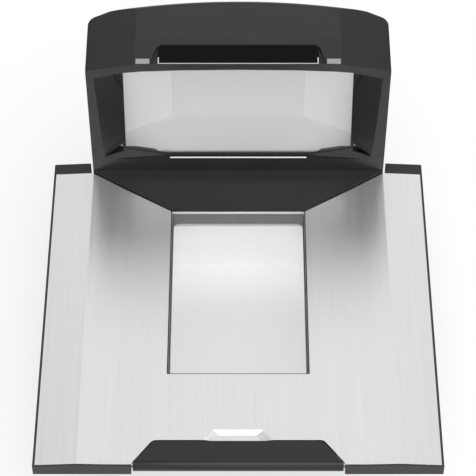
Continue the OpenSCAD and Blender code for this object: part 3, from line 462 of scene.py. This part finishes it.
def dress_nodes():
    """Gives each part of the frame its slot's material and softens its edges."""
    slot_of = {row["node"]: row["material_slot"] for row in frame["record"]["subparts"]}
    for name, node in frame["nodes"].items():
        node.data.materials.clear()
        node.data.materials.append(PAINTED_GLOW_MIRRORS.get(name, MATERIALS[slot_of[name]]))
        if name not in EXACT:
            soften(node, EDGES.get(name, DEFAULT_EDGE))


dress_nodes()


# ---------------------------------------------------------------- pieces

def piece(name, mesh_maker, slot, edge=0.0, smooth=False):
    """A new object from a bmesh that mesh_maker fills, riding on the chassis."""
    bm = bmesh.new()
    mesh_maker(bm)
    mesh = bpy.data.meshes.new(name)
    bmesh.ops.recalc_face_normals(bm, faces=bm.faces)
    bm.to_mesh(mesh)
    bm.free()
    mesh.materials.append(MATERIALS[slot])
    obj = bpy.data.objects.new(name, mesh)
    scene.collection.objects.link(obj)
    if smooth:
        for face in mesh.polygons:
            face.use_smooth = True
    if edge:
        round_edges(obj, edge)
    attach(obj, "chassis")


def block(bm, low, high):
    """A closed box between two corners, given in millimetres."""
    corners = [Vector(((low, high)[i][0], (low, high)[j][1], (low, high)[k][2])) * MM
               for i in (0, 1) for j in (0, 1) for k in (0, 1)]
    verts = [bm.verts.new(c) for c in corners]
    for face in ((0, 1, 3, 2), (4, 6, 7, 5), (0, 4, 5, 1), (2, 3, 7, 6), (0, 2, 6, 4), (1, 5, 7, 3)):
        bm.faces.new([verts[i] for i in face])


def skin(bm, rings):
    """A closed bar through rings of four vertices."""
    for one, two in zip(rings, rings[1:]):
        for k in range(4):
            bm.faces.new((one[k], one[(k + 1) % 4], two[(k + 1) % 4], two[k]))
    bm.faces.new(rings[0][::-1])
    bm.faces.new(rings[-1])


# Corners of a bar's section, in halves of its width and height.
SECTION = ((-1, -1), (1, -1), (1, 1), (-1, 1))


def sweep(bm, path, across, height):
    """A bar of flat section along path (millimetres), across wide and height high, with mitred corners."""
    rings = []
    for i, point in enumerate(path):
        before = (Vector(path[i]) - Vector(path[max(i - 1, 0)])).normalized()
        after = (Vector(path[min(i + 1, len(path) - 1)]) - Vector(point)).normalized()
        along = (before + after).normalized()
        turn = max(0.3, along.dot(after if after.length else before))
        side = along.cross(Vector((0, 0, 1))).normalized() * (across / 2 / turn)
        rise = Vector((0, 0, height / 2))
        rings.append([bm.verts.new((Vector(point) + a * side + b * rise) * MM) for a, b in SECTION])
    skin(bm, rings)


def lathe(bm, profile, centre, axis):
    """A closed turned shape in millimetres: profile is (radius, height) pairs that start and end on the
    axis, or that end where they start."""
    steps = 32
    turn = Vector((0, 0, 1)).rotation_difference(Vector(axis)).to_matrix()

    def place(r, h, a):
        return (Vector(centre) + turn @ Vector((r * math.cos(a), r * math.sin(a), h))) * MM

    rings = []
    for r, h in profile:
        if rings and (r, h) == profile[0]:
            rings.append(rings[0])
        elif r == 0:
            rings.append([bm.verts.new(place(0, h, 0))] * steps)
        else:
            rings.append([bm.verts.new(place(r, h, math.tau * i / steps)) for i in range(steps)])
    for one, two in zip(rings, rings[1:]):
        for i in range(steps):
            j = (i + 1) % steps
            corners = list(dict.fromkeys((one[i], one[j], two[j], two[i])))
            if len(corners) > 2:
                bm.faces.new(corners)


def mm(box):
    """Low and high corners of a box in metres, as millimetres."""
    return [[v / MM for v in corner] for corner in box]


# Sockets of the port block: distance of each centre from the block's left end, width and height.
SOCKETS = ((11.8, 11, 9), (41.8, 12, 8), (71.8, 12, 8), (101.8, 13, 6), (125.8, 12, 8))
SOCKET_DEPTH = 14.0
CONTACTS = 6


def socket_frames():
    """Centre of each socket's mouth, its width and its height."""
    low, high = mm(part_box("port_block"))
    z = (low[2] + high[2]) / 2
    return [(low[0] + x, high[1], z, w, h) for x, w, h in SOCKETS]


def socket_shields(bm):
    """Folded steel shells that line the sockets."""
    rim, wall = 0.1, 0.35
    for x, y, z, w, h in socket_frames():
        back, front = y - SOCKET_DEPTH + 1, y - 0.5
        hw, hh = w / 2 - rim, h / 2 - rim
        block(bm, (x - hw, back, z + hh - wall), (x + hw, front, z + hh))
        block(bm, (x - hw, back, z - hh), (x + hw, front, z - hh + wall))
        block(bm, (x - hw, back, z - hh + wall), (x - hw + wall, front, z + hh - wall))
        block(bm, (x + hw - wall, back, z - hh + wall), (x + hw, front, z + hh - wall))


def socket_tongues(bm):
    """Insulating tongues that carry the contacts."""
    half_t, share = 0.9, 0.36
    for x, y, z, w, h in socket_frames():
        hw = w * share
        block(bm, (x - hw, y - SOCKET_DEPTH + 0.5, z - half_t), (x + hw, y - 3, z + half_t))


def socket_contacts(bm):
    """Rows of contact springs over and under each tongue, each with a raised tip."""
    hw, row = 0.3, 0.64
    for x, y, z, w, h in socket_frames():
        for i in range(CONTACTS):
            cx = x + w * row * ((i + 0.5) / CONTACTS - 0.5)
            for side in (-1, 1):
                flat = sorted((z + side * 0.88, z + side * 1.12))
                tip = sorted((z + side * 1.1, z + side * 1.4))
                block(bm, (cx - hw, y - SOCKET_DEPTH + 1, flat[0]), (cx + hw, y - 3.6, flat[1]))
                block(bm, (cx - hw, y - 6, tip[0]), (cx + hw, y - 4.6, tip[1]))


# Radius of the rear shell's arc, in millimetres.
SHELL_R = 475.0


def shell_back(x):
    """Outer face of the rear shell across its arc, as y in millimetres."""
    crown = mm(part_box("tower_rear_shell"))[1][1]
    return crown - SHELL_R + math.sqrt(SHELL_R ** 2 - x ** 2)


def speaker_cloth(bm):
    """Woven wire behind the grille's slots: wires across that bow with the shell, and wires up that weave
    over and under them."""
    low, high = mm(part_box("speaker"))
    x0, x1, z0, z1 = low[0] + 4.5, high[0] - 5.5, low[2] + 2, high[2] - 2
    inset, wire, pitch, weave = 3.4, 0.26, 1.15, 0.2
    columns = int((x1 - x0) / pitch)
    rows = int((z1 - z0) / pitch)
    for r in range(rows + 1):
        z = z0 + r * pitch
        path = []
        for c in range(2 * columns + 1):
            x = x0 + c * pitch / 2
            path.append((x, shell_back(x) - inset + weave * math.cos(math.pi * (c / 2 + r)), z))
        sweep(bm, path, wire, wire)
    for c in range(columns + 1):
        x = x0 + c * pitch
        y = shell_back(x) - inset
        rings = []
        for k in range(2 * rows + 1):
            z = z0 + k * pitch / 2
            bow = -weave * math.cos(math.pi * (c + k / 2))
            rings.append([bm.verts.new(Vector((x + a * wire / 2, y + bow + b * wire / 2, z)) * MM)
                          for a, b in SECTION])
        skin(bm, rings)


def vent_filter(bm):
    """Open foam behind the vents, bowed with the shell and ribbed up and down."""
    top = mm(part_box("tower_rear_shell"))[1][2]
    z0, z1, x0, x1 = top - 39.0, top - 13.5, -89.0, -2.0
    steps, inset, rib, thick = 58, 4.2, 0.35, 1.2
    rings = []
    for i in range(steps + 1):
        x = x0 + (x1 - x0) * i / steps
        y = shell_back(x) - inset + rib * (i % 2)
        corners = ((y, z0), (y, z1), (y - thick, z1), (y - thick, z0))
        rings.append([bm.verts.new(Vector((x, *corner)) * MM) for corner in corners])
    skin(bm, rings)


def shell_screws(bm):
    """Pan heads with a round socket that hold the rear shell."""
    low, high = mm(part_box("tower_rear_shell"))
    apart, over_foot, under_top = 132, 9, 8
    socket = ((0, 0.5), (1.25, 0.5), (1.35, 1.35))
    head = ((1.9, 1.45), (2.7, 1.1), (3.1, 0.4), (3.1, -0.3), (0, -0.3))
    for x in (-apart / 2, apart / 2):
        lean = x / SHELL_R
        for z in (low[2] + over_foot, high[2] - under_top):
            lathe(bm, socket + head, (x, shell_back(x), z), (lean, math.sqrt(1 - lean ** 2), 0))


def badge_trim(bm):
    """Bright bead along the badge's front edge, turned back a little at both ends."""
    low, high = mm(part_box("badge_panel"))
    hw, y, z = high[0] - 0.7, low[1] + 0.55, high[2] - 1.2
    back, rise, across, height = 6.0, 0.45, 0.9, 0.5
    ends = [(side * hw, y + back, z + rise) for side in (-1, 1)]
    sweep(bm, [ends[0], (-hw, y, z), (hw, y, z), ends[1]], across, height)


def sill_painted_highlight(bm):
    """A pale, faintly glowing bead in front of the tower's glass, on the sill: a painted highlight where the
    sill's front edge catches the light.
    """
    low = mm(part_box("tower_bezel"))[0]
    hw, y, z = 54.0, low[1] + 1.0, low[2] + 0.74
    across, height = 1.2, 0.26
    sweep(bm, [(-hw, y, z), (hw, y, z)], across, height)


def lens_domes(bm):
    """Front glasses of the two imagers; the tower's is the smaller, and looks down and forward."""
    dome = ((0, 1.3), (1.6, 1.2), (3.0, 0.85), (4.1, 0.25), (4.4, -0.4), (0, -0.4))
    tilt, shrink = math.radians(125), 0.72
    low, high = mm(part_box("deck_imager_lens"))
    lathe(bm, dome, (0, high[1] - 0.9, (low[2] + high[2]) / 2), (0, 1, 0))
    low = mm(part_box("tower_imager_lens"))[0]
    small = [(r * shrink, h * shrink) for r, h in dome]
    lathe(bm, small, (0, low[1] + 5.2, low[2] + 4.6), (0, math.cos(tilt), -math.sin(tilt)))


def vial_point(dx, dy, below):
    """A point under the top of the bubble level, measured from its middle."""
    low, high = mm(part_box("bubble_level"))
    return ((low[0] + high[0]) / 2 + dx, (low[1] + high[1]) / 2 + dy, high[2] - below)


def level_bubble(bm):
    """The bubble, a little off centre."""
    outline = ((0, 0.5), (0.9, 0.42), (1.5, 0.2), (1.8, -0.1), (1.5, -0.35), (0, -0.5))
    lathe(bm, outline, vial_point(0.6, -0.4, 0.5), (0, 0, 1))


def level_ring(bm):
    """The ring that the bubble should stand in."""
    inner, outer, half_t = 2.5, 2.85, 0.1
    outline = ((inner, half_t), (outer, half_t), (outer, -half_t), (inner, -half_t), (inner, half_t))
    lathe(bm, outline, vial_point(0, 0, 0.55), (0, 0, 1))


piece("port_shields", socket_shields, "zinc_steel", edge=0.08 * MM)
piece("port_tongues", socket_tongues, "dark_plastic", edge=0.2 * MM)
piece("port_contacts", socket_contacts, "machined_aluminium")
piece("speaker_cloth", speaker_cloth, "zinc_steel")
piece("vent_filter", vent_filter, "black_rubber")
piece("rear_shell_screws", shell_screws, "zinc_steel", smooth=True)
piece("badge_trim", badge_trim, "machined_aluminium", edge=0.12 * MM)
# A glowing white bead on the sill: a painted highlight on the sill's front edge.
piece("sill_painted_highlight", sill_painted_highlight, "white_plastic", edge=0.08 * MM)
piece("imager_domes", lens_domes, "lens_black", smooth=True)
piece("level_bubble", level_bubble, "led_white", smooth=True)
piece("level_ring", level_ring, "black_rubber", smooth=True)


# ---------------------------------------------------------------- studio

def studio_floor():
    """Plain pale floor, lit a little from within so that it fades into the backdrop."""
    mesh = bpy.data.meshes.new("floor")
    half = 6.0
    mesh.from_pydata([(a * half, b * half, 0) for a, b in SECTION], [], [(0, 1, 2, 3)])
    floor = bpy.data.objects.new("floor", mesh)
    scene.collection.objects.link(floor)
    s = Surface("studio_floor", (0.42, 0.42, 0.42), 0.8)
    s.glow(0.62)
    mesh.materials.append(s.mat)


def soft_light(name, place, aim, size, power):
    """A rectangular soft box, size in metres and power in watts."""
    lamp = bpy.data.lights.new(name, "AREA")
    lamp.shape = "RECTANGLE"
    lamp.size, lamp.size_y = size
    lamp.energy = power
    holder = bpy.data.objects.new(name, lamp)
    scene.collection.objects.link(holder)
    holder.location = place
    holder.rotation_euler = (Vector(aim) - Vector(place)).to_track_quat("-Z", "Y").to_euler()


# Light of the backdrop that the camera sees, of the room on matt faces, and what polished faces add.
BACKDROP, ROOM, ROOM_SHEEN = 1.0, 0.3, 0.32
# Soft boxes: place, the point that each faces, size in metres, and power in watts.
LAMPS = {
    "rear_box": ((0.03, 1.35, 1.7), (0, 0, 0.1), (1.4, 1.0), 3.9),
    "top_box": ((0.1, -0.85, 2.0), (0, 0.02, 0.1), (2.8, 1.5), 36),
    "front_box": ((0.1, -2.6, 1.3), (0, 0.1, 0.15), (3.8, 1.5), 20),
    "key_box": ((1.4, -0.3, 1.0), (0, 0, 0.1), (1.0, 1.0), 5),
}


def studio_lights():
    """A pale room and the soft boxes: behind, overhead, in front and at the right."""
    world = bpy.data.worlds.new("studio")
    scene.world = world
    world.use_nodes = True
    tree = world.node_tree
    glow = tree.nodes["Background"]
    glow.inputs["Color"].default_value = (1, 1, 1, 1)
    wall = tree.nodes.new("ShaderNodeBackground")
    wall.inputs["Color"].default_value = (1, 1, 1, 1)
    wall.inputs["Strength"].default_value = BACKDROP
    seen = tree.nodes.new("ShaderNodeLightPath")
    room = tree.nodes.new("ShaderNodeMath")
    room.operation = "MULTIPLY_ADD"
    room.inputs[1].default_value = ROOM_SHEEN
    room.inputs[2].default_value = ROOM
    tree.links.new(seen.outputs["Is Glossy Ray"], room.inputs[0])
    tree.links.new(room.outputs["Value"], glow.inputs["Strength"])
    mix = tree.nodes.new("ShaderNodeMixShader")
    tree.links.new(seen.outputs["Is Camera Ray"], mix.inputs["Fac"])
    tree.links.new(glow.outputs["Background"], mix.inputs[1])
    tree.links.new(wall.outputs["Background"], mix.inputs[2])
    tree.links.new(mix.outputs["Shader"], tree.nodes["World Output"].inputs["Surface"])
    for name, lamp in LAMPS.items():
        soft_light(name, *lamp)
    scene.view_settings.view_transform = "Standard"


# The camera's place in front of the sheet and over the rail in metres, its turn up from straight down,
# and its focal length and shift in widths of the frame.
CAMERA_OUT, CAMERA_UP, CAMERA_TURN = 0.7757, 1.2063, math.radians(39.2)
FOCAL, SHIFT = 4.2017, -0.0004


def photo_camera():
    """Camera over the cashier's side, looking down on the platter and the tower's front."""
    trim = 1.5 * MM
    front_y = cad_box[0][1] + trim
    platter_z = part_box("produce_rail")[1][2]
    lens = bpy.data.cameras.new("camera")
    lens.sensor_width = 36.0
    lens.lens = lens.sensor_width * FOCAL
    lens.shift_x = SHIFT
    camera = bpy.data.objects.new("camera", lens)
    camera.location = (0.0, front_y - CAMERA_OUT, platter_z + CAMERA_UP)
    camera.rotation_euler = (CAMERA_TURN, 0, 0)
    scene.collection.objects.link(camera)
    scene.camera = camera


studio_floor()
studio_lights()
photo_camera()
